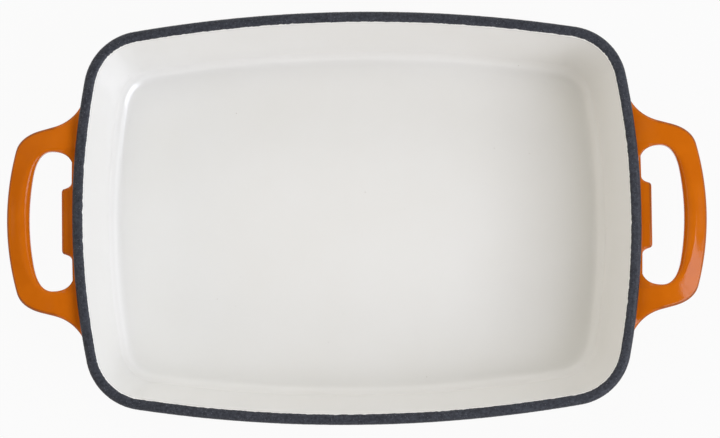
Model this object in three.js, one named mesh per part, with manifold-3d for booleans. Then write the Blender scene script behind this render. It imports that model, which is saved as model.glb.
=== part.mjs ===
// Enamelled cast iron baking dish with two loop handles. Millimetres, +Z up.
// X runs from handle to handle, and the origin is on the table under the middle of the dish.
// The iron is one casting with fired glass coats: cream inside, matt dark on the rim, orange outside.
// Bowl, handles and lugs are separate solids, and so is the coat on each of them.
import * as THREE from "three";
import { mergeVertices } from "three/addons/utils/BufferGeometryUtils.js";
import Module from "manifold-3d";

// Bowl, measured over the finished enamel
const rimLength = 336;
const rimWidth = 244.4;
const dishHeight = 62;
const endBow = 17.2; // how far an end bulges past the straight line between its corners
const sideBow = 17.3; // the same for a long side
const rimCornerRadius = 35.6; // seen from above, and less further in
const rimBand = 6.1; // width of the rim seen from above
const rimRound = 1.7; // radius of the rim's two edges
const rimSkirt = 3.2; // how far the rim's dark coat reaches down the outside
const wallDraft = THREE.MathUtils.degToRad(14); // lean of the inner wall
const wallThickness = 5; // at the level of the floor, iron and coats together
const floorThickness = 5;
const floorFillet = 8.8; // radius between inner wall and floor
const baseRadius = 13; // radius between outer wall and underside

// Foot ring under the bowl, bare iron
const footHeight = 1.6;
const footWidth = 7;
const footSetIn = 3; // from the end of the base radius to the ring
const footChamfer = 0.6;

// Coats
const enamel = 0.45; // from the finished surface to the iron
const bondGap = 0.05; // clearance between two solids that are fused on the real dish

// Loop handles
const handleReach = 39.2; // from the rim's end to the grip's outer edge
const handleDrop = 7; // from the rim's top to the handle's top
const handleThickness = 10;
const handleEdge = 4; // radius of the handle's long edges
const gripRadius = 160; // arc of the grip's outer edge, seen from above
const gripWidth = 13.4;
const gripLength = 84; // length of that arc, measured straight across
const legSplay = THREE.MathUtils.degToRad(14.5); // lean of the legs' outer edges
const shoulderRun = 9.2; // from the end of the grip's arc to the corner that the shoulder rounds
const shoulderEase = 13; // from that corner along the leg
const handleLength = 168; // along the dish's end, to where the legs' flares run out on the wall
const flareEase = 20; // from the corner of leg and wall, out along the leg
const openingLength = 82.8; // finger opening, along the dish's end
const openingEase = 15; // where the grip's inner arc begins to turn into a leg, from the opening's end
const openingWallEase = 12; // the same where a leg turns into the web along the wall

// Lugs on the end walls, inside the finger openings
const lugReach = 6.7; // past the rim's end
const lugLength = 37.4; // along its face, with the corners still sharp
const lugLean = THREE.MathUtils.degToRad(22); // lean of its two ends
const lugCorner = 2.2; // straight reach of the rounding at its face
const lugFlare = 3; // straight reach of the rounding at its root
const lugSink = 0.7; // how far that rounding runs on into the handle's web
const lugThickness = 8;
const lugEdge = 1.8;

const rootDepth = 12; // how far a handle or lug is drawn into the bowl before it is cut to seat on it

// Steps along curves
const endSteps = 3;
const cornerSteps = 6;
const sideSteps = 4;
const filletSteps = 4;
const rimSteps = 2;
const edgeSteps = 2;
const gripSteps = 8;
const planSteps = 5;

// Heights and slopes that follow from the driving sizes
const floorTop = footHeight + floorThickness;
const innerSlope = Math.tan(wallDraft);
const bowlDepth = dishHeight - floorTop;
const outerSlope = (rimBand + bowlDepth * innerSlope - wallThickness) / bowlDepth;
const outerDraft = Math.atan(outerSlope);
const handleMiddle = dishHeight - handleDrop - handleThickness / 2;
const rimEnd = rimLength / 2;
const wallEnd = rimEnd - (dishHeight - handleMiddle) * outerSlope; // outer wall at the handle's height

const wasm = await Module();
wasm.setup();

// Closed three.js geometry to a solid for cutting, and back
function toSolid(geometry) {
  const bare = geometry.clone();
  bare.deleteAttribute("normal");
  bare.deleteAttribute("uv");
  const merged = mergeVertices(bare, 1e-3);
  return new wasm.Manifold(
    new wasm.Mesh({
      numProp: 3,
      vertProperties: merged.attributes.position.array,
      triVerts: Uint32Array.from(merged.index.array),
    }),
  );
}

function toGeometry(solid) {
  const mesh = solid.getMesh();
  const geometry = new THREE.BufferGeometry();
  geometry.setAttribute("position", new THREE.BufferAttribute(mesh.vertProperties, 3));
  geometry.setIndex(new THREE.BufferAttribute(mesh.triVerts, 1));
  geometry.computeVertexNormals();
  return geometry;
}

function cut(geometry, ...tools) {
  const solid = tools.reduce((rest, tool) => rest.subtract(toSolid(tool)), toSolid(geometry));
  return toGeometry(solid);
}

function turned(geometry) {
  return geometry.clone().rotateZ(Math.PI);
}

// Plan of the bowl: a rectangle with bowed sides and round corners

function arc(x, y, radius, from, to, steps) {
  return Array.from({ length: steps + 1 }, (_, step) => {
    const angle = from + ((to - from) * step) / steps;
    return [x + radius * Math.cos(angle), y + radius * Math.sin(angle)];
  });
}

function bowRadius(halfChord, bow) {
  return (halfChord * halfChord + bow * bow) / (2 * bow);
}

const endRadius = bowRadius(rimWidth / 2, endBow);
const sideRadius = bowRadius(rimLength / 2, sideBow);

// Point where a circle about (endX, 0) and a circle about (0, sideY) cross in the first quarter
function crossing(endX, endReach, sideY, sideReach) {
  const apart = Math.hypot(endX, sideY);
  const along = (endReach ** 2 - sideReach ** 2 + apart ** 2) / (2 * apart);
  const across = Math.sqrt(endReach ** 2 - along ** 2);
  const toSide = [-endX / apart, sideY / apart];
  return [endX + along * toSide[0] - across * toSide[1], along * toSide[1] + across * toSide[0]];
}

// Ring of points at an inset from the rim's outline, anticlockwise from the middle of the right end
function ring([inset, height]) {
  const endX = rimLength / 2 - endRadius;
  const sideY = rimWidth / 2 - sideRadius;
  const corner = rimCornerRadius / (1 + inset / rimCornerRadius);
  const [x, y] = crossing(endX, endRadius - inset - corner, sideY, sideRadius - inset - corner);
  const endAngle = Math.atan2(y, x - endX);
  const sideAngle = Math.atan2(y - sideY, x);
  const quarter = [
    ...arc(endX, 0, endRadius - inset, 0, endAngle, endSteps),
    ...arc(x, y, corner, endAngle, sideAngle, cornerSteps).slice(1),
    ...arc(0, sideY, sideRadius - inset, sideAngle, Math.PI / 2, sideSteps).slice(1),
  ];
  const half = [...quarter, ...quarter.slice(0, -1).reverse().map((point) => [-point[0], point[1]])];
  const whole = [...half, ...half.slice(1, -1).reverse().map((point) => [point[0], -point[1]])];
  return whole.map((point) => new THREE.Vector3(point[0], point[1], height));
}

// Two triangles over a quad, parted along its shorter diagonal, so that parallel skins are parted alike
function splitQuad(points, [a, b, c, d]) {
  const isShorter = points[a].distanceTo(points[c]) < points[b].distanceTo(points[d]);
  return isShorter ? [a, b, c, a, c, d] : [a, b, d, b, c, d];
}

// Skin through a row of profile points, each an inset and a height. A loop closes on itself like a tyre,
// and any other row is capped at both ends.
function loft(profile, isLoop) {
  const rings = profile.map(ring);
  const count = rings[0].length;
  const points = rings.flat();
  const faces = [];
  const spans = isLoop ? rings.length : rings.length - 1;
  for (let span = 0; span < spans; span += 1) {
    const here = span * count;
    const there = ((span + 1) % rings.length) * count;
    for (let side = 0; side < count; side += 1) {
      const next = (side + 1) % count;
      faces.push(...splitQuad(points, [here + side, here + next, there + next, there + side]));
    }
  }
  if (!isLoop) {
    const last = (rings.length - 1) * count;
    const start = points.push(new THREE.Vector3(0, 0, profile[0][1])) - 1;
    const finish = points.push(new THREE.Vector3(0, 0, profile.at(-1)[1])) - 1;
    for (let side = 0; side < count; side += 1) {
      const next = (side + 1) % count;
      faces.push(start, next, side, finish, last + side, last + next);
    }
  }
  const geometry = new THREE.BufferGeometry().setFromPoints(points);
  geometry.setIndex(faces);
  geometry.computeVertexNormals();
  return geometry;
}

// Section of the bowl's finished surface: from the foot ring up the outside, over the rim, to the floor

const baseCentre = footHeight + baseRadius;
const baseInset = (dishHeight - baseCentre) * outerSlope + baseRadius / Math.cos(outerDraft);
const footOuter = baseInset + footSetIn;
const footInner = footOuter + footWidth;
const filletCentre = floorTop + floorFillet;
const filletInset = rimBand + (dishHeight - filletCentre) * innerSlope + floorFillet / Math.cos(wallDraft);

const rimTop = dishHeight - rimRound; // where the rim's edges begin to round
const skirtEnd = rimSkirt + bondGap; // where the wall's coat ends under the rim's, below the top
const outsideSection = [
  [footOuter - bondGap, footHeight],
  ...arc(baseInset, baseCentre, baseRadius, 1.5 * Math.PI, Math.PI + outerDraft, filletSteps),
  [skirtEnd * outerSlope, dishHeight - skirtEnd],
];
const rimSection = [
  [rimSkirt * outerSlope, dishHeight - rimSkirt],
  ...arc(rimRound, rimTop, rimRound, Math.PI, Math.PI / 2, rimSteps),
  ...arc(rimBand - rimRound, rimTop, rimRound, Math.PI / 2, 0, rimSteps),
];
const insideSection = [
  [rimBand, rimTop - bondGap],
  ...arc(filletInset, filletCentre, floorFillet, Math.PI + wallDraft, 1.5 * Math.PI, filletSteps),
];
const section = [...outsideSection, ...rimSection, ...insideSection];
const rimStart = outsideSection.length;
const insideStart = rimStart + rimSection.length;

// The section moved into the dish by a depth, square to its surface
function sunk(depth) {
  const normals = section.slice(1).map((point, index) => {
    const across = new THREE.Vector2(point[0] - section[index][0], point[1] - section[index][1]);
    return new THREE.Vector2(across.y, -across.x).normalize();
  });
  return section.map((point, index) => {
    const before = normals[Math.max(index - 1, 0)];
    const after = normals[Math.min(index, normals.length - 1)];
    const reach = depth / (1 + before.dot(after));
    return [point[0] + reach * (before.x + after.x), point[1] + reach * (before.y + after.y)];
  });
}

const ironSection = sunk(enamel);
const bondSection = sunk(enamel - bondGap);

// Bowl of the casting, with the bare foot ring under it
function bowlIron() {
  const ironBase = footHeight + enamel;
  return loft(
    [
      [footInner, ironBase],
      [footInner, footChamfer],
      [footInner - footChamfer, 0],
      [footOuter + footChamfer, 0],
      [footOuter, footChamfer],
      [footOuter, ironBase],
      ...ironSection.slice(1),
    ],
    false,
  );
}

function interiorCoat() {
  const under = bondSection.slice(insideStart).reverse();
  return loft([...under, ...section.slice(insideStart)], false);
}

function rimCoat() {
  const under = bondSection.slice(rimStart, insideStart).reverse();
  return loft([...section.slice(rimStart, insideStart), ...under], true);
}

function baseCoat() {
  const edge = footInner + bondGap;
  return loft(
    [
      [edge, footHeight],
      [edge, footHeight + enamel - bondGap],
    ],
    false,
  );
}

function wallCoat() {
  const under = bondSection.slice(0, rimStart).reverse();
  return loft([...section.slice(0, rimStart), ...under], true);
}

// The whole bowl as one block without its hollow, sunk by a depth, to cut what seats on its wall
function bowlBlock(depth) {
  return loft(sunk(depth).slice(0, rimStart), false);
}

// Continue a path through the points of an arc that starts where the path stands
function follow(path, points) {
  points.slice(1).forEach(([x, y]) => path.lineTo(x, y));
}

// Right handle seen from above: a grip on two legs that flare out onto the wall, with a thin web
// along the wall between them
function handlePlan() {
  const centreX = rimEnd + handleReach - gripRadius;
  const gripAngle = Math.asin(gripLength / 2 / gripRadius);
  const gripX = centreX + gripRadius * Math.cos(gripAngle);
  const shoulderX = gripX - shoulderRun * Math.sin(gripAngle);
  const shoulderY = gripLength / 2 + shoulderRun * Math.cos(gripAngle);
  const legX = shoulderX - shoulderEase * Math.cos(legSplay);
  const legY = shoulderY + shoulderEase * Math.sin(legSplay);
  const footY = handleLength / 2;
  const wallLean = footY / Math.sqrt(endRadius ** 2 - footY ** 2);
  const footX = wallEnd - endRadius + Math.sqrt(endRadius ** 2 - footY ** 2);
  const splay = Math.tan(legSplay);
  const flareY = (shoulderY + (shoulderX - footX - wallLean * footY) * splay) / (1 - wallLean * splay);
  const flareX = footX + wallLean * (footY - flareY);
  const easeX = flareX + flareEase * Math.cos(legSplay);
  const easeY = flareY - flareEase * Math.sin(legSplay);
  const rootX = footX - rootDepth;
  const plan = new THREE.Shape();
  plan.moveTo(rootX, -footY);
  plan.lineTo(footX, -footY);
  plan.quadraticCurveTo(flareX, -flareY, easeX, -easeY);
  plan.lineTo(legX, -legY);
  plan.quadraticCurveTo(shoulderX, -shoulderY, gripX, -gripLength / 2);
  follow(plan, arc(centreX, 0, gripRadius, -gripAngle, gripAngle, gripSteps));
  plan.quadraticCurveTo(shoulderX, shoulderY, legX, legY);
  plan.lineTo(easeX, easeY);
  plan.quadraticCurveTo(flareX, flareY, footX, footY);
  plan.lineTo(rootX, footY);
  plan.closePath();
  plan.holes.push(openingPlan(centreX));
  return plan;
}

// Finger opening: the grip's inner arc, two round ends and a straight back along the web
function openingPlan(centreX) {
  const innerRadius = gripRadius - gripWidth;
  const halfLength = openingLength / 2;
  const arcAngle = Math.asin((halfLength - openingEase) / innerRadius);
  const arcX = centreX + innerRadius * Math.cos(arcAngle);
  const cornerX = arcX - openingEase * Math.tan(arcAngle);
  const endX = rimEnd + openingWallEase;
  const opening = new THREE.Path();
  opening.moveTo(arcX, openingEase - halfLength);
  follow(opening, arc(centreX, 0, innerRadius, -arcAngle, arcAngle, gripSteps));
  opening.quadraticCurveTo(cornerX, halfLength, endX, halfLength);
  opening.quadraticCurveTo(rimEnd, halfLength, rimEnd, halfLength - openingWallEase);
  opening.lineTo(rimEnd, openingWallEase - halfLength);
  opening.quadraticCurveTo(rimEnd, -halfLength, endX, -halfLength);
  opening.quadraticCurveTo(cornerX, -halfLength, arcX, openingEase - halfLength);
  opening.closePath();
  return opening;
}

// Right lug seen from above: a block with leaning ends on the handle's web
function lugPlan() {
  const rootX = wallEnd - rootDepth;
  const webX = rimEnd - lugSink;
  const faceX = rimEnd + lugReach;
  const faceY = lugLength / 2;
  const webY = faceY + (faceX - webX) * Math.tan(lugLean);
  const along = Math.cos(lugLean);
  const across = Math.sin(lugLean);
  const plan = new THREE.Shape();
  plan.moveTo(rootX, -webY - lugFlare);
  plan.lineTo(webX, -webY - lugFlare);
  plan.quadraticCurveTo(webX, -webY, webX + lugFlare * along, -webY + lugFlare * across);
  plan.lineTo(faceX - lugCorner * along, -faceY - lugCorner * across);
  plan.quadraticCurveTo(faceX, -faceY, faceX, lugCorner - faceY);
  plan.lineTo(faceX, faceY - lugCorner);
  plan.quadraticCurveTo(faceX, faceY, faceX - lugCorner * along, faceY + lugCorner * across);
  plan.lineTo(webX + lugFlare * along, webY - lugFlare * across);
  plan.quadraticCurveTo(webX, webY, webX, webY + lugFlare);
  plan.lineTo(rootX, webY + lugFlare);
  plan.closePath();
  return plan;
}

// Plate with round edges, centred on the handle's height and drawn in by a depth on every side
function plate(plan, thickness, edge, depth) {
  const geometry = new THREE.ExtrudeGeometry(plan, {
    depth: thickness - 2 * edge,
    bevelThickness: edge - depth,
    bevelSize: edge - depth,
    bevelOffset: -edge,
    bevelSegments: edgeSteps,
    curveSegments: planSteps,
  });
  return geometry.translate(0, 0, handleMiddle - thickness / 2 + edge);
}

function handlePlate(depth) {
  return plate(handlePlan(), handleThickness, handleEdge, depth);
}

function lugPlate(depth) {
  return plate(lugPlan(), lugThickness, lugEdge, depth);
}

// A handle's iron seats on the bowl's iron, and its coat on the bowl's coat.
// The coat is open where the lug's iron runs into the web.
function handleIron() {
  return cut(handlePlate(enamel), bowlBlock(enamel - bondGap));
}

function handleCoat() {
  const under = handlePlate(enamel - bondGap);
  return cut(handlePlate(0), under, lugPlate(enamel - bondGap), bowlBlock(-bondGap));
}

// A lug seats on the handle's web in the same way
function lugIron() {
  return cut(lugPlate(enamel), handlePlate(enamel - bondGap), bowlBlock(enamel - bondGap));
}

function lugCoat() {
  return cut(lugPlate(0), lugPlate(enamel - bondGap), handlePlate(-bondGap), bowlBlock(-bondGap));
}

// The wall's coat leaves four windows where the iron of handles and lugs runs through it
function exteriorCoat() {
  const windows = [handlePlate(enamel - bondGap), lugPlate(enamel - bondGap)];
  return cut(wallCoat(), ...windows, ...windows.map(turned));
}

// Finishes
const castIron = new THREE.MeshStandardMaterial({ color: 0x4a4a4c, roughness: 0.75, metalness: 0.6 });
const creamEnamel = new THREE.MeshStandardMaterial({ color: 0xe6e4de, roughness: 0.25, metalness: 0 });
const darkEnamel = new THREE.MeshStandardMaterial({ color: 0x3f3e43, roughness: 0.7, metalness: 0 });
const orangeEnamel = new THREE.MeshStandardMaterial({ color: 0xc86414, roughness: 0.2, metalness: 0 });

const dish = new THREE.Group();

function addPiece(parent, name, geometry, material) {
  const mesh = new THREE.Mesh(geometry, material);
  mesh.name = name;
  parent.add(mesh);
}

addPiece(dish, "dish_casting", bowlIron(), castIron);
addPiece(dish, "interior_enamel", interiorCoat(), creamEnamel);
addPiece(dish, "rim_enamel", rimCoat(), darkEnamel);
addPiece(dish, "exterior_enamel", exteriorCoat(), orangeEnamel);
addPiece(dish, "base_enamel", baseCoat(), orangeEnamel);

// The two ends are alike, half a turn apart
const endPieces = [
  ["handle_casting", handleIron(), castIron],
  ["handle_enamel", handleCoat(), orangeEnamel],
  ["lug_casting", lugIron(), castIron],
  ["lug_enamel", lugCoat(), orangeEnamel],
];
for (const [side, turn] of [["right", 0], ["left", Math.PI]]) {
  const end = new THREE.Group();
  end.rotation.z = turn;
  endPieces.forEach(([name, geometry, material]) => addPiece(end, `${side}_${name}`, geometry, material));
  dish.add(end);
}

export default dish;
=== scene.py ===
import math

import bpy
import numpy as np
from mathutils import Matrix, Vector


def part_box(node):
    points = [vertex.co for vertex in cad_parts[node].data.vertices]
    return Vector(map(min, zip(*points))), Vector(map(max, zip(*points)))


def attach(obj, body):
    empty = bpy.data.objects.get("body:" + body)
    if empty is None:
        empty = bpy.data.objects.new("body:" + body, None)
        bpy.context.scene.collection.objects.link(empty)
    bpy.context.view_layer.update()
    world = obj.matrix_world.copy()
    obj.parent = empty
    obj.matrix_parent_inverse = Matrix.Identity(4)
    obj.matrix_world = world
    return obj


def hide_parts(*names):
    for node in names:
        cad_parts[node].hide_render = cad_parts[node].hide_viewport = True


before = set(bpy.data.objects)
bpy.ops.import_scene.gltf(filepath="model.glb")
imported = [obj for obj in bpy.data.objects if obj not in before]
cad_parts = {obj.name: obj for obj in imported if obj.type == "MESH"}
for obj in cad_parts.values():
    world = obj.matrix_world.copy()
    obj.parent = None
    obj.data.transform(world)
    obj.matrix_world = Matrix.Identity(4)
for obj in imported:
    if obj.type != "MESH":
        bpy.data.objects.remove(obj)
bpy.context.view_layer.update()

# Lengths are in millimetres, and MM turns them into metres where an object is made
MM = 0.001


def box_mm(node):
    """The lowest and highest corner of a CAD node."""
    low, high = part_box(node)
    return np.array(low) / MM, np.array(high) / MM


rim_low, rim_high = box_mm("rim_enamel")
handle_low, handle_high = box_mm("right_handle_enamel")
lug_low, lug_high = box_mm("right_lug_enamel")

# Bowl, over the finished enamel
RIM_LENGTH = rim_high[0] - rim_low[0]
RIM_WIDTH = rim_high[1] - rim_low[1]
HEIGHT = rim_high[2]
END_BOW = 17.2
SIDE_BOW = 17.3
CORNER_RADIUS = 35.6
RIM_BAND = 6.1
RIM_ROUND = 2.5
RIM_SKIRT = 3.2  # how far down the rim's outside the dark coat goes
LIP_DROP = 5.0  # below the top, where the rim's outside has come back to the wall
LIP_FULLNESS = 0.7  # pull of the curve from the wall to the rim's rounding, over that rounding's radius
WALL_DRAFT = math.radians(14)
WALL_THICKNESS = 5
FLOOR_THICKNESS = 5
FLOOR_FILLET = 8.8
BASE_RADIUS = 13

# Foot ring
FOOT_HEIGHT = 1.6
FOOT_WIDTH = 7
FOOT_SET_IN = 3
FOOT_CHAMFER = 0.6

# Coats
COAT = 0.4  # thickness of each coat
BOND = 0.05  # from a coat's back to the iron
RIM_PROUD = 0.12  # how far the rim's coat stands over its neighbours
RIM_EDGE_FADE = 0.8  # width over which the rim's coat thins out to its edges
RIM_GRAIN = 0.03  # roughness of the rim's coat
RIM_RAG = 0.2  # how far its edges stray in short waves
RIM_SWAY = 0.12  # and its inner edge in long ones
RIM_TURN = math.radians(20)  # of the inner rounding, left to the cream coat
RIM_MARGIN = 0.12  # share of the way over the rim, at each edge, where points lie closer
OUTER_RAG_WAVES = (40, 240)  # fewest and most short waves round the coat's outer edge
INNER_RAG_WAVES = (60, 420)  # the same round its inner edge
SWAY_WAVES = (5, 30)  # fewest and most long waves
WAVE_KINDS = 60  # at most, from the fewest waves to the most
LINING_TOP = math.radians(60)  # how far up the inner rounding the cream coat goes, under the rim's
LINING_MARGIN = 0.1  # share of the inner wall, next to the rim, where points lie closer
BEAD_HEIGHT = 0.2  # bead of the cream coat under the rim
BEAD_WIDTH = 0.7
BEAD_TURN = math.radians(36)  # of the inner rounding, from the cream coat's hidden edge to its bead
BASE_EASE = 2.5  # width over which the underside's coat thins out to the foot ring
BASE_THIN = 0.15  # by how much it thins

# Handles
HANDLE_END = handle_high[0]
HANDLE_MIDDLE = (handle_low[2] + handle_high[2]) / 2
HANDLE_HALF = (handle_high[2] - handle_low[2]) / 2
HANDLE_FOOT = handle_high[1]
GRIP_RADIUS = 160
GRIP_WIDTH = 13.4
GRIP_LENGTH = 84
LEG_SPLAY = math.radians(14.5)
SHOULDER_RUN = 9.2
SHOULDER_EASE = 13
FLARE_EASE = 20
OPENING_LENGTH = 82.8
OPENING_EASE = 15
OPENING_WALL_EASE = 12
GRIP_BEVEL = 5.5  # width of the rounded finger slope along the grip's inner edge
LEG_BEVEL = 1.5  # the same on the legs
BEVEL_START = 0.6  # share of the grip's half length after which the slope narrows
BEVEL_PITCH = math.radians(22)  # of the slope where it leaves the ridge along the top
BEVEL_DEPTH = 1.05  # of its width
BEVEL_FULLNESS = 0.42  # over 0.5 makes its curve fuller, and under 0.5 flatter
RIDGE_ROUND = 0.45  # of its width, rounded off at the ridge
OUTER_TOP_ROUND = 1.8
UNDER_ROUND = 3.6
TOP_CROWN = 1.9  # how far the handle's top falls towards its outer edge
LEG_CROWN = 0.3  # share of that fall which is left where a leg meets the wall
ARCH_RISE = 2.0  # how far the legs rise from the wall to the top of their arch
ARCH_REACH = 16  # from the wall to the top of the arch
ARCH_FALL = 1.2  # how far the grip's outer edge lies below that top
HANDLE_LIFT = 1.6  # how far the handles' roots and the lugs lie over the middle of the CAD handle
ROOT_RISE = 2.0  # fillet of a leg up the wall
ROOT_FALL = 5.0  # the same down the wall
ROOT_RUN = 5.0  # reach of these fillets out along the leg
ROOT_SINK = 0.08  # how far under the wall's surface they end
ROOT_DEPTH = 2 * COAT  # how far behind these ends the hidden last ring is
ROOT_SPREAD = 11  # fillet of a leg along the wall, inside the opening

# Lugs, with the web along the wall that they stand on
LUG_FACE = lug_high[0]
LUG_HALF_HEIGHT = (lug_high[2] - lug_low[2]) / 2
LUG_LENGTH = 37.4
LUG_LEAN = math.radians(22)
LUG_CORNER = 2.2
LUG_FLARE = 3
LUG_EDGE = 1.8
LUG_FACE_LOSS = 0.5  # share by which the rounding of its four corners is smaller at its face
WEB_PROUD = 0.7  # how far the web's face stands out past the rim
WEB_FACE = RIM_LENGTH / 2 + WEB_PROUD
WEB_SLOPE = 0.3  # how much further back its face is at the legs
WEB_SLOPE_START = 0.25  # share of that slope at the end of the lug's flare
WEB_END = WEB_FACE - WEB_SLOPE
WEB_DIVE = 1.0  # how far the fillets of the legs run into it
WEB_TURN = 0.5  # how squarely a leg's side faces the opening where its fillets pass to the web
WEB_HALF_LENGTH = 41
WEB_HALF_HEIGHT = 4.9
WEB_EDGE = 3
WEB_DEPTH = 7.4  # from its face to its back, which is hidden in the wall

# Slopes and places that follow from the sizes
FLOOR_TOP = FOOT_HEIGHT + FLOOR_THICKNESS
INNER_SLOPE = math.tan(WALL_DRAFT)
BOWL_DEPTH = HEIGHT - FLOOR_TOP
OUTER_SLOPE = (RIM_BAND + BOWL_DEPTH * INNER_SLOPE - WALL_THICKNESS) / BOWL_DEPTH
OUTER_DRAFT = math.atan(OUTER_SLOPE)
BASE_CENTRE = FOOT_HEIGHT + BASE_RADIUS
BASE_INSET = (HEIGHT - BASE_CENTRE) * OUTER_SLOPE + BASE_RADIUS / math.cos(OUTER_DRAFT)
FOOT_OUTER = BASE_INSET + FOOT_SET_IN
FOOT_INNER = FOOT_OUTER + FOOT_WIDTH
FILLET_CENTRE = FLOOR_TOP + FLOOR_FILLET
FILLET_INSET = (
    RIM_BAND + (HEIGHT - FILLET_CENTRE) * INNER_SLOPE + FLOOR_FILLET / math.cos(WALL_DRAFT)
)
RIM_TOP = HEIGHT - RIM_ROUND


def bow_radius(half_chord, bow):
    """Radius of an arc from half its chord and its height."""
    return (half_chord ** 2 + bow ** 2) / (2 * bow)


END_RADIUS = bow_radius(RIM_WIDTH / 2, END_BOW)
SIDE_RADIUS = bow_radius(RIM_LENGTH / 2, SIDE_BOW)
END_X = RIM_LENGTH / 2 - END_RADIUS
SIDE_Y = RIM_WIDTH / 2 - SIDE_RADIUS

# Steps along curves and lines
END_STEPS = 24
CORNER_STEPS = 16
SIDE_STEPS = 36
RIM_FINENESS = 4  # the rim has this many times as many points round it
FLAT_STEPS = 4  # across surfaces that are flat or hidden
FILLET_STEPS = 18
WALL_STEPS = 12
FLOOR_STEPS = 12
FOOT_STEPS = 3  # from the foot ring to the curve of the base
BASE_EDGE_STEPS = 6
LIP_STEPS = 10
COVERED_LIP_STEPS = 6  # of these, how many the wall's coat goes up under the rim's
RIM_ROUND_STEPS = 10
RIM_TOP_STEPS = 6
RIM_MARGIN_STEPS = 4
RIM_OVER_STEPS = 15
RIM_BACK_STEPS = 8
LINING_TOP_STEPS = 12
LINING_MARGIN_STEPS = 8
GRIP_STEPS = 16
SHOULDER_STEPS = 14
LEG_STEPS = 4
BAR_SIDE_STEPS = 2
BAR_TOP_STEPS = 5
BAR_ROUND_STEPS = 6
BEVEL_STEPS = 10
ROOT_STEPS = 24
ROOT_CROWDING = 1.5  # over 1 draws a root's rings together towards the wall
BEND_LENGTH = 0.8  # of a rounded corner, over the length of its two sides
WALL_TRIES = 12  # steps in which a line is followed to the curved wall
LUG_EDGE_STEPS = 14
LUG_ROUND_STEPS = 8
LUG_SIDE_STEPS = 4
LUG_FLARE_STEPS = 10
WEB_STEPS = 6
WEB_CORNER_STEPS = 10

# Colours in linear red, green and blue: darker and paler clouds, then what shows in or on them
ORANGE_DARK = (0.6, 0.133, 0.0026)
ORANGE_PALE = (0.655, 0.153, 0.0038)
# brown for edges: partly the thinner enamel there, partly painted shade on the handles' rounded edges and
# outlines
ORANGE_THIN_AND_SHADED_EDGE = (0.2, 0.045, 0.003)
CREAM_DARK = (0.9, 0.888, 0.852)
CREAM_PALE = (0.914, 0.904, 0.874)
CREAM_PORE = (0.7, 0.67, 0.62)
RIM_DARK = (0.02, 0.022, 0.029)
RIM_PALE = (0.064, 0.069, 0.086)
RIM_SPECK = (0.12, 0.12, 0.14)
IRON_DARK = (0.045, 0.045, 0.048)
IRON_PALE = (0.11, 0.11, 0.115)
IRON_STAIN = (0.1, 0.06, 0.04)
GLASS_IOR = 1.5

# Stage, with its lengths in metres
TABLE_REACH = 6.0
TABLE_GREY = 0.5
TABLE_ROUGHNESS = 0.9
TABLE_SPECULAR = 0.1
TABLE_GLOW = 0.94  # share of the table's white in the picture that no shadow takes away
LAMP_DISTANCE = 2.0
ROOM_LEFT = (1.02, 0.92, 0.82)  # the room's light from the left and from the right
ROOM_RIGHT = (1.3, 1.33, 1.36)
ROOM_FLOOR = 0.3  # brightness of the room's floor and walls
ROOM_WALLS = 1.0
ROOM_CEILING = (0.05, 0.04)  # brightness where the ceiling begins and straight above
ROOM_WALL_START = (0.31, 0.39)  # heights of a direction, where the floor ends and the walls begin
ROOM_WALL_FINISH = (0.61, 0.7)  # the same for walls and ceiling
VIEW_ELEVATION = math.radians(86)
VIEW_DISTANCE = 2.4
VIEW_WIDTH = 0.4248  # of the picture, at the height of the rim
VIEW_MIDDLE = (0.00185, -0.0010)  # x and y that the camera looks at
VIEW_ROLL = -0.0115  # in radians
SENSOR = 36.0  # width of the camera's sensor in millimetres

SHARP = math.radians(50)  # edges that turn more than this are shaded as corners
rng = np.random.default_rng(11)


# Plan of the bowl

def ring_places(fineness=1):
    """For each point of a ring, the arc that it is on, how far along it, and the signs of x and y."""
    quarter = []
    for arc, steps in enumerate((END_STEPS, CORNER_STEPS, SIDE_STEPS)):
        count = steps * fineness
        quarter += [(arc, step / count) for step in range(count)]
    quarter.append((2, 1.0))
    there = quarter[:-1]
    back = quarter[:0:-1]
    rows = []
    for part, sign_x, sign_y in ((there, 1, 1), (back, -1, 1), (there, -1, -1), (back, 1, -1)):
        rows += [(arc, share, sign_x, sign_y) for arc, share in part]
    return np.array(rows, float).T


def ring(inset, height, places):
    """Points at an inset from the rim's outline, anticlockwise from the middle of the right end."""
    arc, share, sign_x, sign_y = places
    inset = np.broadcast_to(np.asarray(inset, float), share.shape)
    height = np.broadcast_to(np.asarray(height, float), share.shape)
    corner = CORNER_RADIUS / (1 + inset / CORNER_RADIUS)
    end_reach = END_RADIUS - inset - corner
    side_reach = SIDE_RADIUS - inset - corner
    apart = math.hypot(END_X, SIDE_Y)
    to_side = np.array([-END_X, SIDE_Y]) / apart
    along = (end_reach ** 2 - side_reach ** 2 + apart ** 2) / (2 * apart)
    across = np.sqrt(end_reach ** 2 - along ** 2)
    corner_x = END_X + along * to_side[0] - across * to_side[1]
    corner_y = along * to_side[1] + across * to_side[0]
    end_angle = np.arctan2(corner_y, corner_x - END_X)
    side_angle = np.arctan2(corner_y - SIDE_Y, corner_x)
    which = arc.astype(int)
    start = np.choose(which, (np.zeros_like(share), end_angle, side_angle))
    finish = np.choose(which, (end_angle, side_angle, np.full_like(share, math.pi / 2)))
    angle = start + share * (finish - start)
    radius = np.choose(which, (END_RADIUS - inset, corner, SIDE_RADIUS - inset))
    centre_x = np.choose(which, (np.full_like(share, END_X), corner_x, np.zeros_like(share)))
    centre_y = np.choose(which, (np.zeros_like(share), corner_y, np.full_like(share, SIDE_Y)))
    x = centre_x + radius * np.cos(angle)
    y = centre_y + radius * np.sin(angle)
    return np.stack([sign_x * x, sign_y * y, height], axis=1)


def wall_x(y, z):
    """How far out the right end's outer wall is."""
    radius = END_RADIUS - (HEIGHT - z) * OUTER_SLOPE
    return END_X + np.sqrt(radius ** 2 - y ** 2)


# Sections of the bowl, as rows of inset and height

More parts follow.
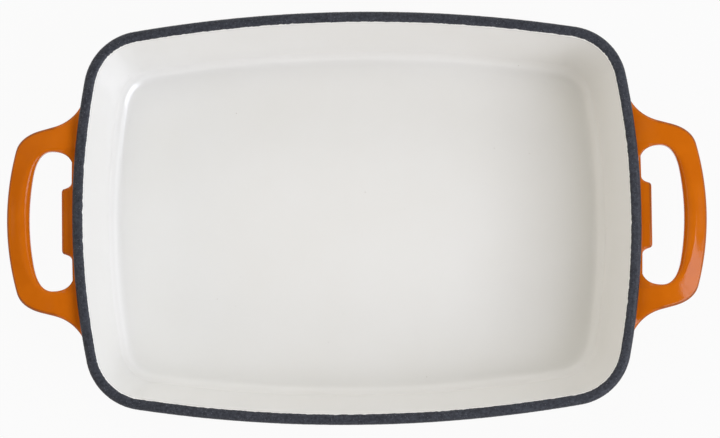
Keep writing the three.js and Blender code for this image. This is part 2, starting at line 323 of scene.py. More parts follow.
def arc_row(inset, height, radius, start, finish, steps):
    """Points of an arc round a centre, from one angle to another."""
    angle = np.linspace(start, finish, steps + 1)
    return np.stack([inset + radius * np.cos(angle), height + radius * np.sin(angle)], axis=1)


def line_row(start, finish, steps):
    """Points of a straight line."""
    share = np.linspace(0, 1, steps + 1)[:, None]
    return np.array(start) * (1 - share) + np.array(finish) * share


def curve_row(controls, steps):
    """Points of a Bezier curve with three or four controls."""
    share = np.linspace(0, 1, steps + 1)[:, None]
    points = [np.broadcast_to(np.array(control, float), (steps + 1, 2)) for control in controls]
    while len(points) > 1:
        points = [a * (1 - share) + b * share for a, b in zip(points, points[1:])]
    return points[0]


def joined(*rows):
    """Rows end to end, each starting where the one before ends."""
    return np.concatenate([rows[0]] + [row[1:] for row in rows[1:]])


def reach_of(row):
    """Distance along a row to each of its points."""
    return np.concatenate([[0], np.cumsum(np.linalg.norm(np.diff(row, axis=0), axis=1))])


def normals_of(row):
    """Unit normals of a section row, out of the dish's material."""
    along = np.gradient(row, axis=0)
    out = np.stack([-along[:, 1], along[:, 0]], axis=1)
    return out / np.linalg.norm(out, axis=1, keepdims=True)


def sunk(row, depth):
    """A row moved into the material, square to its surface."""
    return row - normals_of(row) * np.reshape(depth, (-1, 1))


LIP_INSET = LIP_DROP * OUTER_SLOPE
ROUND_INSET = RIM_BAND + RIM_ROUND * INNER_SLOPE - RIM_ROUND / math.cos(WALL_DRAFT)
LIP_EASE = RIM_ROUND * LIP_FULLNESS

outer_base = joined(
    line_row((FOOT_OUTER - BOND, FOOT_HEIGHT), (BASE_INSET, FOOT_HEIGHT), FOOT_STEPS),
    arc_row(BASE_INSET, BASE_CENTRE, BASE_RADIUS, 1.5 * math.pi, math.pi + OUTER_DRAFT, FILLET_STEPS),
)
outer_wall = line_row(outer_base[-1], (LIP_INSET, HEIGHT - LIP_DROP), WALL_STEPS)
outer_lip = curve_row(
    [
        (LIP_INSET, HEIGHT - LIP_DROP),
        (LIP_INSET - LIP_EASE * OUTER_SLOPE, HEIGHT - LIP_DROP + LIP_EASE),
        (0, RIM_TOP - LIP_EASE),
        (0, RIM_TOP),
    ],
    LIP_STEPS,
)
rim_over = joined(
    arc_row(RIM_ROUND, RIM_TOP, RIM_ROUND, math.pi, math.pi / 2, RIM_ROUND_STEPS),
    line_row((RIM_ROUND, HEIGHT), (ROUND_INSET, HEIGHT), RIM_TOP_STEPS),
    arc_row(ROUND_INSET, RIM_TOP, RIM_ROUND, math.pi / 2, WALL_DRAFT, RIM_ROUND_STEPS),
)
inner_fillet = arc_row(
    FILLET_INSET, FILLET_CENTRE, FLOOR_FILLET, math.pi + WALL_DRAFT, 1.5 * math.pi, FILLET_STEPS
)
inner_wall = line_row(rim_over[-1], inner_fillet[0], WALL_STEPS)


# Meshes

def area_vectors(points, faces):
    """Normal of each face times its area. A triangle counts as a quad with its last corner twice."""
    quads = np.array([(*face, face[-1])[:4] for face in faces])
    a, b, c, d = (points[quads[:, corner]] for corner in range(4))
    return quads, np.cross(c - a, d - b) / 2


def outwards(points, faces):
    """A closed skin with its faces turned outwards."""
    quads, areas = area_vectors(points, faces)
    is_outside_in = np.sum(points[quads[:, 0]] * areas) < 0
    return points, [face[::-1] for face in faces] if is_outside_in else faces


def skin(rings, start=None, finish=None):
    """A skin through rings of equally many points, closed like a tyre or else in two end points."""
    count = len(rings[0])
    points = np.concatenate(rings)
    here = np.arange(count)
    after = np.roll(here, -1)
    is_loop = start is None
    faces = []
    for low in range(len(rings) if is_loop else len(rings) - 1):
        high = (low + 1) % len(rings)
        quads = (low * count + here, low * count + after, high * count + after, high * count + here)
        faces += np.stack(quads, axis=1).tolist()
    if not is_loop:
        first = len(points)
        last = first - count
        points = np.vstack([points, start, finish])
        faces += [[first, b, a] for a, b in zip(here.tolist(), after.tolist())]
        faces += [[first + 1, last + a, last + b] for a, b in zip(here.tolist(), after.tolist())]
    return outwards(points, faces)


def drawn_in(points, faces, depth):
    """A skin moved inwards along its normals."""
    quads, areas = area_vectors(points, faces)
    normals = np.zeros_like(points)
    for corner in range(4):
        np.add.at(normals, quads[:, corner], areas)
    normals /= np.linalg.norm(normals, axis=1, keepdims=True)
    return points - depth * normals, faces


def hollow(points, faces, depth):
    """A skin with the thickness of a coat: itself and a second skin inside it that faces inwards."""
    inner, _ = drawn_in(points, faces, depth)
    back = [[corner + len(points) for corner in face[::-1]] for face in faces]
    return np.concatenate([points, inner]), faces + back


def finished(name, points, faces):
    """A mesh object from points in millimetres."""
    mesh = bpy.data.meshes.new(name)
    mesh.from_pydata((points * MM).tolist(), [], faces)
    mesh.shade_smooth()
    mesh.set_sharp_from_angle(angle=SHARP)
    piece = bpy.data.objects.new(name, mesh)
    bpy.context.scene.collection.objects.link(piece)
    return piece


def turned(points):
    """Points of the right end turned by half a turn to the left end."""
    return points * np.array([-1, -1, 1])


places = ring_places()
fine_places = ring_places(RIM_FINENESS)


def rings_of(row):
    """A ring for each inset and height of a section."""
    return [ring(inset, height, places) for inset, height in row]


def waves(count, fewest, most, size):
    """A closed ragged line round a ring, as a sum of waves, from the fewest round it to the most."""
    turn = np.linspace(0, 2 * math.pi, count, endpoint=False)
    numbers = np.unique(np.geomspace(fewest, most, WAVE_KINDS).astype(int))
    line = sum(np.sin(turn * number + rng.uniform(0, 2 * math.pi)) for number in numbers)
    return size * line / np.sqrt(len(numbers) / 2)


def floor_rings(edge, height, steps):
    """Rings that fill a floor from its edge ring towards the middle."""
    shares = np.linspace(1, 0, steps + 1)[1:-1]
    return [edge * np.array([share, share, 0]) + np.array([0, 0, height]) for share in shares]


# Pieces of the bowl

def make_casting():
    """The bowl's iron, with its bare foot ring."""
    base = FOOT_HEIGHT + COAT + BOND
    outside = sunk(joined(outer_base, outer_wall, outer_lip, rim_over), COAT + BOND)
    inside = sunk(joined(inner_wall, inner_fillet), COAT + BOND)
    foot = joined(
        line_row((FOOT_INNER, base), (FOOT_INNER, FOOT_CHAMFER), 1),
        line_row((FOOT_INNER, FOOT_CHAMFER), (FOOT_INNER - FOOT_CHAMFER, 0), 1),
        line_row((FOOT_INNER - FOOT_CHAMFER, 0), (FOOT_OUTER + FOOT_CHAMFER, 0), FLAT_STEPS),
        line_row((FOOT_OUTER + FOOT_CHAMFER, 0), (FOOT_OUTER, FOOT_CHAMFER), 1),
        line_row((FOOT_OUTER, FOOT_CHAMFER), (FOOT_OUTER, base), 1),
    )
    rings = rings_of(np.concatenate([foot, outside[1:], inside[1:]]))
    floor = inside[-1][1]
    under = floor_rings(rings[0], base, FLAT_STEPS)
    over = floor_rings(rings[-1], floor, FLAT_STEPS)
    return finished("iron_bowl", *skin(under[::-1] + rings + over, (0, 0, base), (0, 0, floor)))


def make_lining():
    """The cream coat: up the inner wall onto the rim's inner edge, with a bead where it ends."""
    covered = arc_row(ROUND_INSET, RIM_TOP, RIM_ROUND, LINING_TOP, WALL_DRAFT, LINING_TOP_STEPS)
    margin = inner_wall[0] * (1 - LINING_MARGIN) + inner_wall[-1] * LINING_MARGIN
    near = line_row(inner_wall[0], margin, LINING_MARGIN_STEPS)
    row = joined(covered, near, line_row(margin, inner_wall[-1], WALL_STEPS), inner_fillet)
    bead = BEAD_HEIGHT * np.exp(-(((reach_of(row) - RIM_ROUND * BEAD_TURN) / BEAD_WIDTH) ** 2))
    floor_back = FLOOR_TOP - COAT
    front = rings_of(sunk(row, -bead))
    back = rings_of(sunk(row, COAT))
    front += floor_rings(front[-1], FLOOR_TOP, FLOOR_STEPS)
    back += floor_rings(back[-1], floor_back, FLAT_STEPS)
    return finished("cream_lining", *skin(front[::-1] + back, (0, 0, FLOOR_TOP), (0, 0, floor_back)))


def make_rim():
    """The matt dark coat over the rim, with ragged edges inside and outside."""
    row = joined(outer_wall[-2:], outer_lip, rim_over, inner_wall[:2])
    reach = reach_of(row)
    out = normals_of(row)
    count = fine_places.shape[1]
    lip = slice(0, len(outer_lip))
    low = np.interp(HEIGHT - RIM_SKIRT, row[lip, 1], reach[lip])
    high = reach[-2] - RIM_ROUND * RIM_TURN
    start = low + waves(count, *OUTER_RAG_WAVES, RIM_RAG)
    finish = high + waves(count, *INNER_RAG_WAVES, RIM_RAG) + waves(count, *SWAY_WAVES, RIM_SWAY)

    def layer(share, thickness, grain):
        """The ring of points at a share of the way over the rim."""
        place = start * (1 - share) + finish * share
        cover = np.clip(np.minimum(place - start, finish - place) / RIM_EDGE_FADE, 0, 1)
        body = thickness * (np.sqrt(cover) if thickness > 0 else 1)
        lift = body + grain * cover * rng.normal(0, 1, count)
        inset = np.interp(place, reach, row[:, 0]) + lift * np.interp(place, reach, out[:, 0])
        height = np.interp(place, reach, row[:, 1]) + lift * np.interp(place, reach, out[:, 1])
        return ring(inset, height, fine_places)

    over = joined(
        np.linspace(0, RIM_MARGIN, RIM_MARGIN_STEPS + 1),
        np.linspace(RIM_MARGIN, 1 - RIM_MARGIN, RIM_OVER_STEPS + 1),
        np.linspace(1 - RIM_MARGIN, 1, RIM_MARGIN_STEPS + 1),
    )
    front = [layer(share, RIM_PROUD, RIM_GRAIN) for share in over]
    back = [layer(share, -COAT, 0) for share in np.linspace(1, 0, RIM_BACK_STEPS + 1)]
    return finished("dark_rim_coat", *skin(front + back))


def make_wall():
    """The orange coat on the outer wall, from the foot ring up under the rim's coat."""
    row = joined(outer_base, outer_wall, outer_lip[:COVERED_LIP_STEPS + 1])
    return finished("orange_wall_coat", *skin(rings_of(row) + rings_of(sunk(row, COAT))[::-1]))


def make_base():
    """The orange coat on the underside, inside the foot ring, thinning out against it."""
    edge = FOOT_INNER + BOND
    thin = FOOT_HEIGHT + BASE_THIN
    top = FOOT_HEIGHT + COAT
    easing = [(edge, thin), (edge + BASE_THIN, FOOT_HEIGHT), (edge + BASE_EASE, FOOT_HEIGHT)]
    rings = rings_of(joined(
        line_row((edge, top), (edge, thin), 1),
        curve_row(easing, BASE_EDGE_STEPS),
    ))
    over = floor_rings(rings[0], top, FLAT_STEPS)
    under = floor_rings(rings[-1], FOOT_HEIGHT, FLOOR_STEPS)
    points, faces = skin(over[::-1] + rings + under, (0, 0, top), (0, 0, FOOT_HEIGHT))
    return finished("orange_base_coat", points, faces)


# Handles

def handle_plan():
    """Outer edge, inner edge, bevel and crown of half the right handle, from the grip's middle on."""
    centre = HANDLE_END - GRIP_RADIUS
    grip_angle = math.asin(GRIP_LENGTH / 2 / GRIP_RADIUS)
    grip_x = centre + GRIP_RADIUS * math.cos(grip_angle)
    shoulder = np.array([
        grip_x - SHOULDER_RUN * math.sin(grip_angle),
        GRIP_LENGTH / 2 + SHOULDER_RUN * math.cos(grip_angle),
    ])
    down_leg = np.array([-math.cos(LEG_SPLAY), math.sin(LEG_SPLAY)])
    leg = shoulder + SHOULDER_EASE * down_leg
    reach = (shoulder[0] - wall_x(shoulder[1] + SHOULDER_EASE, HANDLE_MIDDLE)) / math.cos(LEG_SPLAY)
    ease = shoulder + (reach - FLARE_EASE) * down_leg
    outer = joined(
        arc_row(centre, 0, GRIP_RADIUS, 0, grip_angle, GRIP_STEPS),
        curve_row([(grip_x, GRIP_LENGTH / 2), shoulder, leg], SHOULDER_STEPS),
        line_row(leg, ease, LEG_STEPS),
    )
    inner_radius = GRIP_RADIUS - GRIP_WIDTH
    half = OPENING_LENGTH / 2
    arc_angle = math.asin((half - OPENING_EASE) / inner_radius)
    arc_x = centre + inner_radius * math.cos(arc_angle)
    corner_x = arc_x - OPENING_EASE * math.tan(arc_angle)
    side = (RIM_LENGTH / 2 + OPENING_WALL_EASE, half)
    inner = joined(
        arc_row(centre, 0, inner_radius, 0, arc_angle, GRIP_STEPS),
        curve_row([(arc_x, half - OPENING_EASE), (corner_x, half), side], SHOULDER_STEPS + LEG_STEPS),
    )
    step = np.arange(len(outer))
    narrowing = GRIP_STEPS * (1 - BEVEL_START) + SHOULDER_STEPS
    share = np.clip((step - GRIP_STEPS * BEVEL_START) / narrowing, 0, 1)
    bevel = GRIP_BEVEL + (LEG_BEVEL - GRIP_BEVEL) * share ** 2 * (3 - 2 * share)
    half_shoulder = SHOULDER_STEPS / 2
    past = np.clip((step - GRIP_STEPS - half_shoulder) / (half_shoulder + LEG_STEPS), 0, 1)
    crown = TOP_CROWN * (1 - (1 - LEG_CROWN) * past)
    return outer, inner, bevel, crown


def bar_section(width, bevel, crown):
    """Section of the handle's bar: across from its outer edge, and height over its middle."""
    top = HANDLE_HALF
    depth = BEVEL_DEPTH * bevel
    down = np.array([1, -math.tan(BEVEL_PITCH)])
    ridge = np.array([width - bevel, top])
    outer = np.array([OUTER_TOP_ROUND, top - crown])
    before = ridge + (outer - ridge) * min(RIDGE_ROUND * bevel / (ridge[0] - outer[0]), 1)
    after = ridge + RIDGE_ROUND * bevel * down
    over = after + BEVEL_FULLNESS * (1 - RIDGE_ROUND) * bevel * down
    edge = np.array([width, top - depth])
    over_edge = edge + np.array([0, BEVEL_FULLNESS * depth])
    shoulder = outer[1] - OUTER_TOP_ROUND
    under = UNDER_ROUND - top
    return joined(
        line_row((0, under), (0, shoulder), BAR_SIDE_STEPS),
        arc_row(OUTER_TOP_ROUND, shoulder, OUTER_TOP_ROUND, math.pi, math.pi / 2, BAR_ROUND_STEPS),
        line_row(outer, before, BAR_TOP_STEPS),
        curve_row([before, ridge, after], BAR_ROUND_STEPS),
        curve_row([after, over, over_edge, edge], BEVEL_STEPS),
        line_row(edge, (width, under), BAR_SIDE_STEPS),
        arc_row(width - UNDER_ROUND, under, UNDER_ROUND, 0, -math.pi / 2, BAR_ROUND_STEPS),
        line_row((width - UNDER_ROUND, -top), (UNDER_ROUND, -top), FLAT_STEPS),
        arc_row(UNDER_ROUND, under, UNDER_ROUND, 1.5 * math.pi, math.pi, BAR_ROUND_STEPS),
    )[:-1]


def root_rings(base, out, to_wall, rise, run, webbed):
    """Rings from a bar's last ring to the wall, rounding onto it.

    out is the ring's outward direction in y and z, and to_wall the way that each point goes. rise and run
    are how far the rounding reaches along the wall and along the bar, in y and z for each point, and webbed
    is 1 where it ends in the web instead of on the wall."""

    def end_x(points, web_x):
        """How far out a rounding ends."""
        on_wall = wall_x(points[:, 1], points[:, 2] + HANDLE_LIFT)
        return on_wall + webbed * (web_x - on_wall)

    corner = base.copy()
    for _ in range(WALL_TRIES):
        ahead = (corner[:, 0] - end_x(corner, WEB_END)) / -to_wall[:, 0]
        corner = corner + ahead[:, None] * to_wall
    foot = corner.copy()
    foot[:, 1:] += rise * out
    foot[:, 0] = end_x(foot, WEB_END - WEB_DIVE) - ROOT_SINK
    length = np.linalg.norm(base - corner, axis=1)
    ease = np.minimum(np.linalg.norm(run * out, axis=1), length)
    begin = corner + (base - corner) * (ease / length)[:, None]
    straight = length - ease
    bend = (ease + np.linalg.norm(foot - corner, axis=1)) * BEND_LENGTH
    rings = []
    for step in range(1, ROOT_STEPS + 1):
        place = (1 - (1 - step / ROOT_STEPS) ** ROOT_CROWDING) * (straight + bend)
        # Some points have no straight stretch, and COAT keeps them from a division by nothing
        share = np.clip(place / np.maximum(straight, COAT), 0, 1)[:, None]
        turn = np.clip((place - straight) / bend, 0, 1)[:, None]
        on_bar = base * (1 - share) + begin * share
        on_curve = begin * (1 - turn) ** 2 + corner * 2 * turn * (1 - turn) + foot * turn ** 2
        rings.append(np.where(place[:, None] < straight[:, None], on_bar, on_curve))
    hidden = foot - np.array([ROOT_DEPTH, 0, 0])
    return rings + [hidden]


def arched(points):
    """Points of a handle lifted into its arch, which rises from the wall and falls again over the grip."""
    top = wall_x(0, HANDLE_MIDDLE) + ARCH_REACH
    past = points[:, 0] - top
    inner = 1 - np.clip(-past / ARCH_REACH, 0, 1) ** 2
    outer = np.clip(past / (HANDLE_END - top), 0, 1) ** 2
    lift = ARCH_RISE * inner - ARCH_FALL * outer + HANDLE_LIFT
    return points + np.outer(lift, (0, 0, 1))


def handle_rings():
    """Rings of half the right handle, from the grip's middle to the root in the wall."""
    outer, inner, bevel, crown = handle_plan()
    rings = []
    for edge, opening, slope, fall in zip(outer, inner, bevel, crown):
        width = np.linalg.norm(opening - edge)
        section = bar_section(width, slope, fall)
        plan = edge + (opening - edge) / width * section[:, :1]
        rings.append(np.column_stack([plan, HANDLE_MIDDLE + section[:, 1]]))
    # The root goes on from the leg's last section
    out = normals_of(np.vstack([section[-1:], section, section[:1]]))[1:-1] * np.array([-1, 1])
    inward = (section[:, 0] / width)[:, None]
    splayed = np.array([-math.cos(LEG_SPLAY), math.sin(LEG_SPLAY), 0])
    to_wall = (1 - inward) * splayed + inward * np.array([-1, 0, 0])
    outer_rise = HANDLE_FOOT - outer[-1][1] - FLARE_EASE * math.sin(LEG_SPLAY)
    is_outer = out[:, 0] > 0
    is_top = out[:, 1] > 0
    beside_web = np.clip(1 + out[:, 0] / WEB_TURN, 0, 1)
    rise = np.column_stack([
        np.where(is_outer, outer_rise, ROOT_SPREAD),
        np.where(is_top, ROOT_RISE, ROOT_FALL) * beside_web,
    ])
    run = np.column_stack([
        np.where(is_outer, FLARE_EASE, inner[-1][0] - WEB_END),
        np.full(len(out), ROOT_RUN),
    ])
    webbed = np.clip((-out[:, 0] - WEB_TURN) / (1 - WEB_TURN), 0, 1)
    rings += root_rings(rings[-1], out, to_wall, rise, run, webbed)
    return [arched(points) for points in rings]


def handle_skin(place):
    """The whole right handle, from root to root, put in its place."""
    half = handle_rings()
    mirror = np.array([1, -1, 1])
    rings = [place(points * mirror) for points in half[:0:-1]] + [place(points) for points in half]
    return skin(rings, rings[0].mean(axis=0), rings[-1].mean(axis=0))


# Lugs

def rounded_ring(x, half_length, half_height, radius):
    """A rounded rectangle that stands across the x axis at the handle's height."""
    rows = []
    for sign_y, sign_z, start in ((1, 1, 0), (-1, 1, 0.5), (-1, -1, 1), (1, -1, 1.5)):
        centre = (sign_y * (half_length - radius), sign_z * (half_height - radius))
        finish = start + 0.5
        rows.append(arc_row(*centre, radius, math.pi * start, math.pi * finish, LUG_ROUND_STEPS))
    outline = np.concatenate(rows)
    height = HANDLE_MIDDLE + HANDLE_LIFT + outline[:, 1]
    return np.column_stack([np.full(len(outline), x), outline[:, 0], height])


def lug_skin(place):
    """The right lug from its face, over its ends and along the web, to the web's back in the wall."""
    lean = math.tan(LUG_LEAN)
    body_x = LUG_FACE - LUG_EDGE
    body_y = LUG_LENGTH / 2 + LUG_EDGE * lean
    web_y = LUG_LENGTH / 2 + (LUG_FACE - WEB_FACE) * lean
    flare = (WEB_FACE + LUG_FLARE * math.cos(LUG_LEAN), web_y - LUG_FLARE * math.sin(LUG_LEAN))
    web_start = (WEB_FACE - WEB_SLOPE * WEB_SLOPE_START, web_y + LUG_FLARE)
    web_end = (WEB_END, WEB_HALF_LENGTH - WEB_EDGE)
    web_corner = (WEB_END, WEB_HALF_LENGTH)
    back_x = WEB_FACE - WEB_DEPTH
    rings = []
    for angle in np.linspace(0, math.pi / 2, LUG_EDGE_STEPS + 1)[:-1]:
        drawn = 1 - math.sin(angle)
        x = LUG_FACE - LUG_EDGE * (1 - math.cos(angle))
        size = (body_y - LUG_CORNER * drawn, LUG_HALF_HEIGHT - LUG_EDGE * drawn)
        rings.append(rounded_ring(x, *size, LUG_EDGE - LUG_FACE_LOSS * LUG_EDGE * drawn))
    ends = joined(
        line_row((body_x, body_y), flare, LUG_SIDE_STEPS),
        curve_row([flare, (WEB_FACE, web_y), web_start], LUG_FLARE_STEPS),
        line_row(web_start, web_end, WEB_STEPS),
        curve_row([web_end, web_corner, (back_x, WEB_HALF_LENGTH + WEB_SLOPE)], WEB_CORNER_STEPS),
    )
    for x, half_length in ends:
        share = (body_x - x) / (body_x - back_x)
        half_height = LUG_HALF_HEIGHT + (WEB_HALF_HEIGHT - LUG_HALF_HEIGHT) * share ** 2
        rings.append(rounded_ring(x, half_length, half_height, LUG_EDGE + share * WEB_EDGE / 2))
    placed = [place(points) for points in rings]
    return skin(placed, placed[0].mean(axis=0), placed[-1].mean(axis=0))


# Materials

def new_material(name):
    """A material and its shader, with the object's own coordinates for its textures."""
    material = bpy.data.materials.new(name)
    material.use_nodes = True
    tree = material.node_tree
    coords = tree.nodes.new("ShaderNodeTexCoord").outputs["Object"]
    return material, tree, tree.nodes["Principled BSDF"], coords


def noise(tree, coords, scale, detail, rough=0.5):
    """Random clouds, about as many to a metre as the scale says."""
    node = tree.nodes.new("ShaderNodeTexNoise")
    node.inputs["Scale"].default_value = scale
    node.inputs["Detail"].default_value = detail
    node.inputs["Roughness"].default_value = rough
    tree.links.new(coords, node.inputs["Vector"])
    return node.outputs["Fac"]


def cells(tree, coords, scale):
    """Distance from the nearest of many scattered points."""
    node = tree.nodes.new("ShaderNodeTexVoronoi")
    node.inputs["Scale"].default_value = scale
    tree.links.new(coords, node.inputs["Vector"])
    return node.outputs["Distance"]


def ramp(tree, value, *stops):
    """Colours or greys at places along a value."""
    node = tree.nodes.new("ShaderNodeValToRGB")
    elements = node.color_ramp.elements
    while len(elements) < len(stops):
        elements.new(0.5)
    for element, (place, colour) in zip(elements, stops):
        grey = (colour,) * 3 if isinstance(colour, (int, float)) else colour
        element.position = place
        element.color = (*grey, 1)
    tree.links.new(value, node.inputs["Fac"])
    return node.outputs["Color"]


def blended(tree, share, low, high):
    """One colour over another by a share. Each is a colour or a socket."""
    node = tree.nodes.new("ShaderNodeMix")
    node.data_type = "RGBA"
    tree.links.new(share, node.inputs["Factor"])
    for name, value in (("A", low), ("B", high)):
        socket = next(entry for entry in node.inputs if entry.name == name and entry.type == "RGBA")
        if isinstance(value, tuple):
            socket.default_value = (*value, 1)
        else:
            tree.links.new(value, socket)
    return next(entry for entry in node.outputs if entry.type == "RGBA")


def bumped(tree, height, strength, distance, below=None):
    """Normals of a surface with bumps of a height in metres, on top of other bumps if there are any."""
    node = tree.nodes.new("ShaderNodeBump")
    node.inputs["Strength"].default_value = strength
    node.inputs["Distance"].default_value = distance
    tree.links.new(height, node.inputs["Height"])
    if below:
        tree.links.new(below, node.inputs["Normal"])
    return node.outputs["Normal"]


def orange_enamel():
    """Glossy burnt orange glass: cloudy in depth, with a faint orange peel. Its edges are brown, partly
    from thinner enamel and partly as painted shade on the rounded edges and outlines.
    """
    material, tree, shader, coords = new_material("orange_enamel")
    cloud = ramp(tree, noise(tree, coords, scale=60, detail=4), (0.3, ORANGE_DARK), (0.7, ORANGE_PALE))
    edges = tree.nodes.new("ShaderNodeNewGeometry").outputs["Pointiness"]
    # Convex edges are darkened brown: partly thinner enamel, partly painted shade where rounded edges and
    # outlines turn from the light
    thin = ramp(tree, edges, (0.51, 0.0), (0.535, 1.0))
    colour = blended(tree, thin, cloud, ORANGE_THIN_AND_SHADED_EDGE)
    tree.links.new(colour, shader.inputs["Base Color"])
    gloss = ramp(tree, noise(tree, coords, scale=140, detail=2), (0.3, 0.07), (0.7, 0.13))
    tree.links.new(gloss, shader.inputs["Roughness"])
    peel = bumped(tree, noise(tree, coords, scale=260, detail=1), strength=0.04, distance=0.001)
    grain = noise(tree, coords, scale=1500, detail=2)
    fine = bumped(tree, grain, strength=0.02, distance=0.0005, below=peel)
    tree.links.new(fine, shader.inputs["Normal"])
    shader.inputs["IOR"].default_value = GLASS_IOR
    shader.inputs["Specular IOR Level"].default_value = 0.3
    return material


def cream_enamel():
    """Off-white glass, very faintly clouded and rippled, with a few pinholes and a clear glossy surface."""
    material, tree, shader, coords = new_material("cream_enamel")
    cloud = ramp(tree, noise(tree, coords, scale=22, detail=4), (0.3, CREAM_DARK), (0.7, CREAM_PALE))
    pores = ramp(tree, cells(tree, coords, scale=75), (0.018, 1.0), (0.03, 0.0))
    colour = blended(tree, pores, cloud, CREAM_PORE)
    tree.links.new(colour, shader.inputs["Base Color"])
    gloss = ramp(tree, noise(tree, coords, scale=60, detail=3), (0.3, 0.32), (0.7, 0.38))
    tree.links.new(gloss, shader.inputs["Roughness"])
    flow = bumped(tree, noise(tree, coords, scale=45, detail=1), strength=0.018, distance=0.001)
    grain = noise(tree, coords, scale=420, detail=2)
    fine = bumped(tree, grain, strength=0.008, distance=0.0005, below=flow)
    tree.links.new(fine, shader.inputs["Normal"])
    shader.inputs["IOR"].default_value = GLASS_IOR
    shader.inputs["Specular IOR Level"].default_value = 0.25
    shader.inputs["Coat Weight"].default_value = 1.0
    shader.inputs["Coat IOR"].default_value = 1.63
    shader.inputs["Coat Roughness"].default_value = 0.06
    return material


def dark_enamel():
    """Matt blue-black first coat, sandy, with small pale specks."""
    material, tree, shader, coords = new_material("dark_enamel")
    cloud = noise(tree, coords, scale=700, detail=5, rough=0.7)
    ground = ramp(tree, cloud, (0.35, RIM_DARK), (0.68, RIM_PALE))
    specks = ramp(tree, cells(tree, coords, scale=620), (0.1, 1.0), (0.2, 0.0))
    colour = blended(tree, specks, ground, RIM_SPECK)
    tree.links.new(colour, shader.inputs["Base Color"])
    gloss = ramp(tree, noise(tree, coords, scale=500, detail=3), (0.3, 0.4), (0.7, 0.55))
    tree.links.new(gloss, shader.inputs["Roughness"])
    grain = noise(tree, coords, scale=900, detail=4, rough=0.7)
    sand = bumped(tree, grain, strength=0.35, distance=0.0006)
    tree.links.new(sand, shader.inputs["Normal"])
    shader.inputs["IOR"].default_value = GLASS_IOR
    shader.inputs["Specular IOR Level"].default_value = 0.3
    return material


def cast_iron():
    """Bare sand-cast iron, grey, pitted, with brown stains."""
    material, tree, shader, coords = new_material("cast_iron")
    cloud = noise(tree, coords, scale=350, detail=6, rough=0.7)
    ground = ramp(tree, cloud, (0.3, IRON_DARK), (0.7, IRON_PALE))
    stain = ramp(tree, noise(tree, coords, scale=40, detail=5, rough=0.7), (0.55, 0.0), (0.72, 1.0))
    colour = blended(tree, stain, ground, IRON_STAIN)
    tree.links.new(colour, shader.inputs["Base Color"])
    gloss = ramp(tree, noise(tree, coords, scale=260, detail=4), (0.3, 0.5), (0.7, 0.8))
    tree.links.new(gloss, shader.inputs["Roughness"])
    grain = noise(tree, coords, scale=1100, detail=5, rough=0.7)
    pits = bumped(tree, grain, strength=0.5, distance=0.0006)
    tree.links.new(pits, shader.inputs["Normal"])
    shader.inputs["Metallic"].default_value = 0.6
    return material


# Dressing the frame

finishes = {
    "orange_enamel": orange_enamel(),
    "cream_enamel": cream_enamel(),
    "dark_enamel": dark_enamel(),
    "cast_iron": cast_iron(),
}


def dress(piece, slot, *nodes):
    """Give a piece its finish, hang it on the body and let it stand for its CAD nodes."""
    piece.data.materials.append(finishes[slot])
    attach(piece, "root")
    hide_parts(*nodes)


dress(make_casting(), "cast_iron", "dish_casting")
dress(make_lining(), "cream_enamel", "interior_enamel")
dress(make_rim(), "dark_enamel", "rim_enamel")
dress(make_wall(), "orange_enamel", "exterior_enamel")
dress(make_base(), "orange_enamel", "base_enamel")
for side, place in (("right", lambda points: points), ("left", turned)):
    for part, outside in (("handle", handle_skin(place)), ("lug", lug_skin(place))):
        coat = finished(f"{side}_{part}_coat", *hollow(*outside, COAT))
        iron = finished(f"{side}_{part}_iron", *drawn_in(*outside, COAT + BOND))
        dress(coat, "orange_enamel", f"{side}_{part}_enamel")
        dress(iron, "cast_iron", f"{side}_{part}_casting")


# Table, room, lights and camera

def aimed(place, target, roll=0.0):
    """Where an object stands that looks from a place to a target, in metres."""
    look = (Vector(target) - Vector(place)).to_track_quat("-Z", "Y").to_matrix().to_4x4()
    return Matrix.Translation(place) @ look @ Matrix.Rotation(roll, 4, "Z")


def softbox(name, azimuth, elevation, size, power, colour):
    """A square panel that looks at the dish from a direction in degrees."""
    turn = math.radians(azimuth)
    lift = math.radians(elevation)
    away = Vector((math.cos(lift) * math.cos(turn), math.cos(lift) * math.sin(turn), math.sin(lift)))
    lamp = bpy.data.lights.new(name, "AREA")
    lamp.size = size
    lamp.energy = power
    lamp.color = colour
    light = bpy.data.objects.new(name, lamp)
    light.matrix_world = aimed(away * LAMP_DISTANCE, (0, 0, HEIGHT * MM / 2))
    bpy.context.scene.collection.objects.link(light)
    return light


def seen_rays(tree):
    """1 for rays that show the table in the picture: straight, in a reflection or through glass."""
    path = tree.nodes.new("ShaderNodeLightPath")
    seen = path.outputs["Is Camera Ray"]
    for kind in ("Is Glossy Ray", "Is Transmission Ray"):
        either = tree.nodes.new("ShaderNodeMath")
        either.operation = "MAXIMUM"
        tree.links.new(seen, either.inputs[0])
        tree.links.new(path.outputs[kind], either.inputs[1])
        seen = either.outputs["Value"]
    return seen


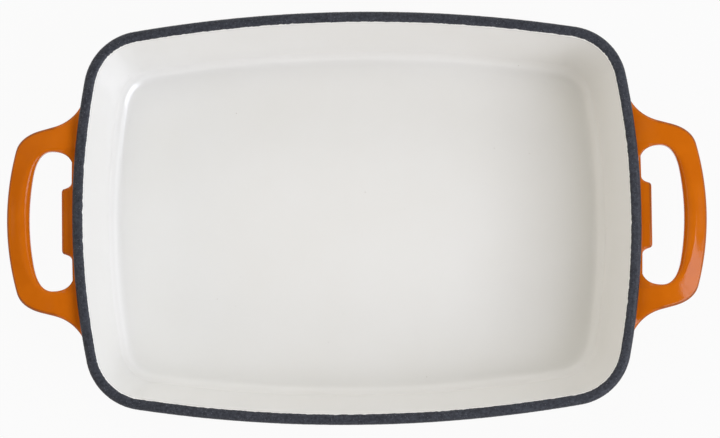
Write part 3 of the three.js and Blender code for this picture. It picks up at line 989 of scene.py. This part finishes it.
def make_floor():
    """A wide white table that stays white in the picture and keeps the dish's shadow."""
    corners = [(x * TABLE_REACH, y * TABLE_REACH, 0) for x, y in ((-1, -1), (1, -1), (1, 1), (-1, 1))]
    mesh = bpy.data.meshes.new("floor")
    mesh.from_pydata(corners, [], [(0, 1, 2, 3)])
    floor = bpy.data.objects.new("floor", mesh)
    bpy.context.scene.collection.objects.link(floor)
    material = bpy.data.materials.new("white_table")
    material.use_nodes = True
    tree = material.node_tree
    table = tree.nodes["Principled BSDF"]
    table.inputs["Base Color"].default_value = (TABLE_GREY, TABLE_GREY, TABLE_GREY, 1)
    table.inputs["Roughness"].default_value = TABLE_ROUGHNESS
    table.inputs["Specular IOR Level"].default_value = TABLE_SPECULAR
    glow = tree.nodes.new("ShaderNodeEmission")
    pictured = tree.nodes.new("ShaderNodeMixShader")
    pictured.inputs["Fac"].default_value = TABLE_GLOW
    tree.links.new(table.outputs["BSDF"], pictured.inputs[1])
    tree.links.new(glow.outputs["Emission"], pictured.inputs[2])
    surface = tree.nodes.new("ShaderNodeMixShader")
    tree.links.new(seen_rays(tree), surface.inputs["Fac"])
    tree.links.new(table.outputs["BSDF"], surface.inputs[1])
    tree.links.new(pictured.outputs["Shader"], surface.inputs[2])
    tree.links.new(surface.outputs["Shader"], tree.nodes["Material Output"].inputs["Surface"])
    mesh.materials.append(material)


def make_world():
    """A room with a dim floor, pale walls, warm on the left and cool on the right, and a dark ceiling."""
    world = bpy.data.worlds.new("room")
    bpy.context.scene.world = world
    world.use_nodes = True
    tree = world.node_tree
    coords = tree.nodes.new("ShaderNodeTexCoord").outputs["Generated"]
    split = tree.nodes.new("ShaderNodeSeparateXYZ")
    tree.links.new(coords, split.inputs["Vector"])
    rightward = tree.nodes.new("ShaderNodeMapRange")
    rightward.inputs["From Min"].default_value = -1.0
    tree.links.new(split.outputs["X"], rightward.inputs["Value"])
    colour = blended(tree, rightward.outputs["Result"], ROOM_LEFT, ROOM_RIGHT)
    brightness = ramp(
        tree,
        split.outputs["Z"],
        (0.0, ROOM_FLOOR),
        (ROOM_WALL_START[0], ROOM_FLOOR),
        (ROOM_WALL_START[1], ROOM_WALLS),
        (ROOM_WALL_FINISH[0], ROOM_WALLS),
        (ROOM_WALL_FINISH[1], ROOM_CEILING[0]),
        (1.0, ROOM_CEILING[1]),
    )
    tree.links.new(colour, tree.nodes["Background"].inputs["Color"])
    tree.links.new(brightness, tree.nodes["Background"].inputs["Strength"])


def make_camera():
    """A camera nearly straight above the dish."""
    lens = bpy.data.cameras.new("camera")
    lens.sensor_width = SENSOR
    lens.lens = SENSOR * VIEW_DISTANCE / VIEW_WIDTH
    camera = bpy.data.objects.new("camera", lens)
    middle = Vector((*VIEW_MIDDLE, HEIGHT * MM))
    back = Vector((0, -math.cos(VIEW_ELEVATION), math.sin(VIEW_ELEVATION)))
    camera.matrix_world = aimed(middle + back * VIEW_DISTANCE, middle, VIEW_ROLL)
    bpy.context.scene.collection.objects.link(camera)
    bpy.context.scene.camera = camera


make_floor()
make_world()
softbox("key", azimuth=334, elevation=44, size=1.25, power=18, colour=(1.0, 1.03, 1.15))
fills = (
    softbox("upper_fill", azimuth=135, elevation=65, size=1.4, power=9, colour=(1.0, 0.99, 0.9)),
    softbox("back_fill", azimuth=90, elevation=30, size=1.4, power=3.5, colour=(0.95, 1.03, 1.2)),
)
for fill in fills:
    fill.visible_glossy = False
make_camera()
bpy.context.scene.view_settings.view_transform = "Standard"

bpy.context.view_layer.update()
